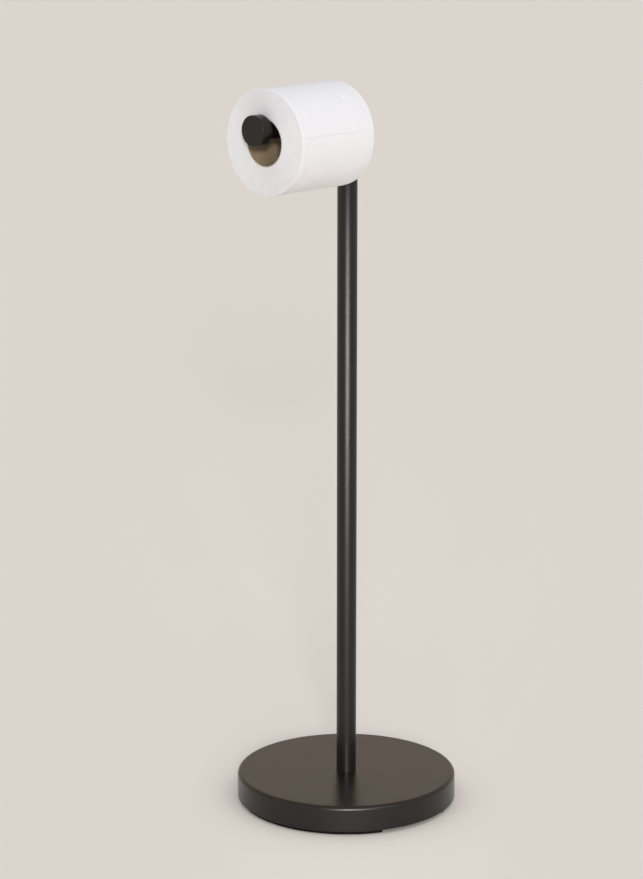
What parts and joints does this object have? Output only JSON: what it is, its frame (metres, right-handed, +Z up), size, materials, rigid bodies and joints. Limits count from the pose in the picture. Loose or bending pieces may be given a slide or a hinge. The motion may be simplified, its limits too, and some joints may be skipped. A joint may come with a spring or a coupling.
{
  "type": "freestanding toilet paper holder",
  "caption": "Freestanding toilet paper holder: weighted round base, slim round post and a side arm with a knob that carries a paper roll.",
  "frame": {"origin": "on the post's axis at floor level, in the plane of the anti-slip strip's underside", "axes": "+Z up along the post, +X along the arm to its knob, +Y to the side where the free end of the paper lies"},
  "size_m": [0.229, 0.211, 0.7007],
  "materials": {
    "black_powder_coat": "satin",
    "black_rubber": "matte",
    "black_plastic": "matte",
    "grey_iron": "matte",
    "zinc_plated_steel": "satin",
    "brown_cardboard": "matte",
    "white_tissue": "matte"
  },
  "bodies": {
    "stand": {"base_cover": "black_powder_coat", "anti_slip_strip": "black_rubber", "base_plate": "black_plastic", "base_weight": "grey_iron", "base_bolt": "zinc_plated_steel", "spring_washer": "zinc_plated_steel", "foot_insert": "zinc_plated_steel", "post_tube": "black_powder_coat", "head_plug": "black_powder_coat", "arm_collar": "black_powder_coat", "arm_stud": "zinc_plated_steel", "arm_tube": "black_powder_coat", "arm_insert": "zinc_plated_steel", "end_knob": "black_powder_coat"},
    "roll": {"roll_core": "brown_cardboard", "paper_roll": "white_tissue"}
  },
  "joints": [
    {"name": "roll_spin", "type": "hinge", "parent": "stand", "child": "roll", "pos_m": [0.06195, 0, 0.6518], "axis": [1, 0, 0], "continuous": true}
  ]
}
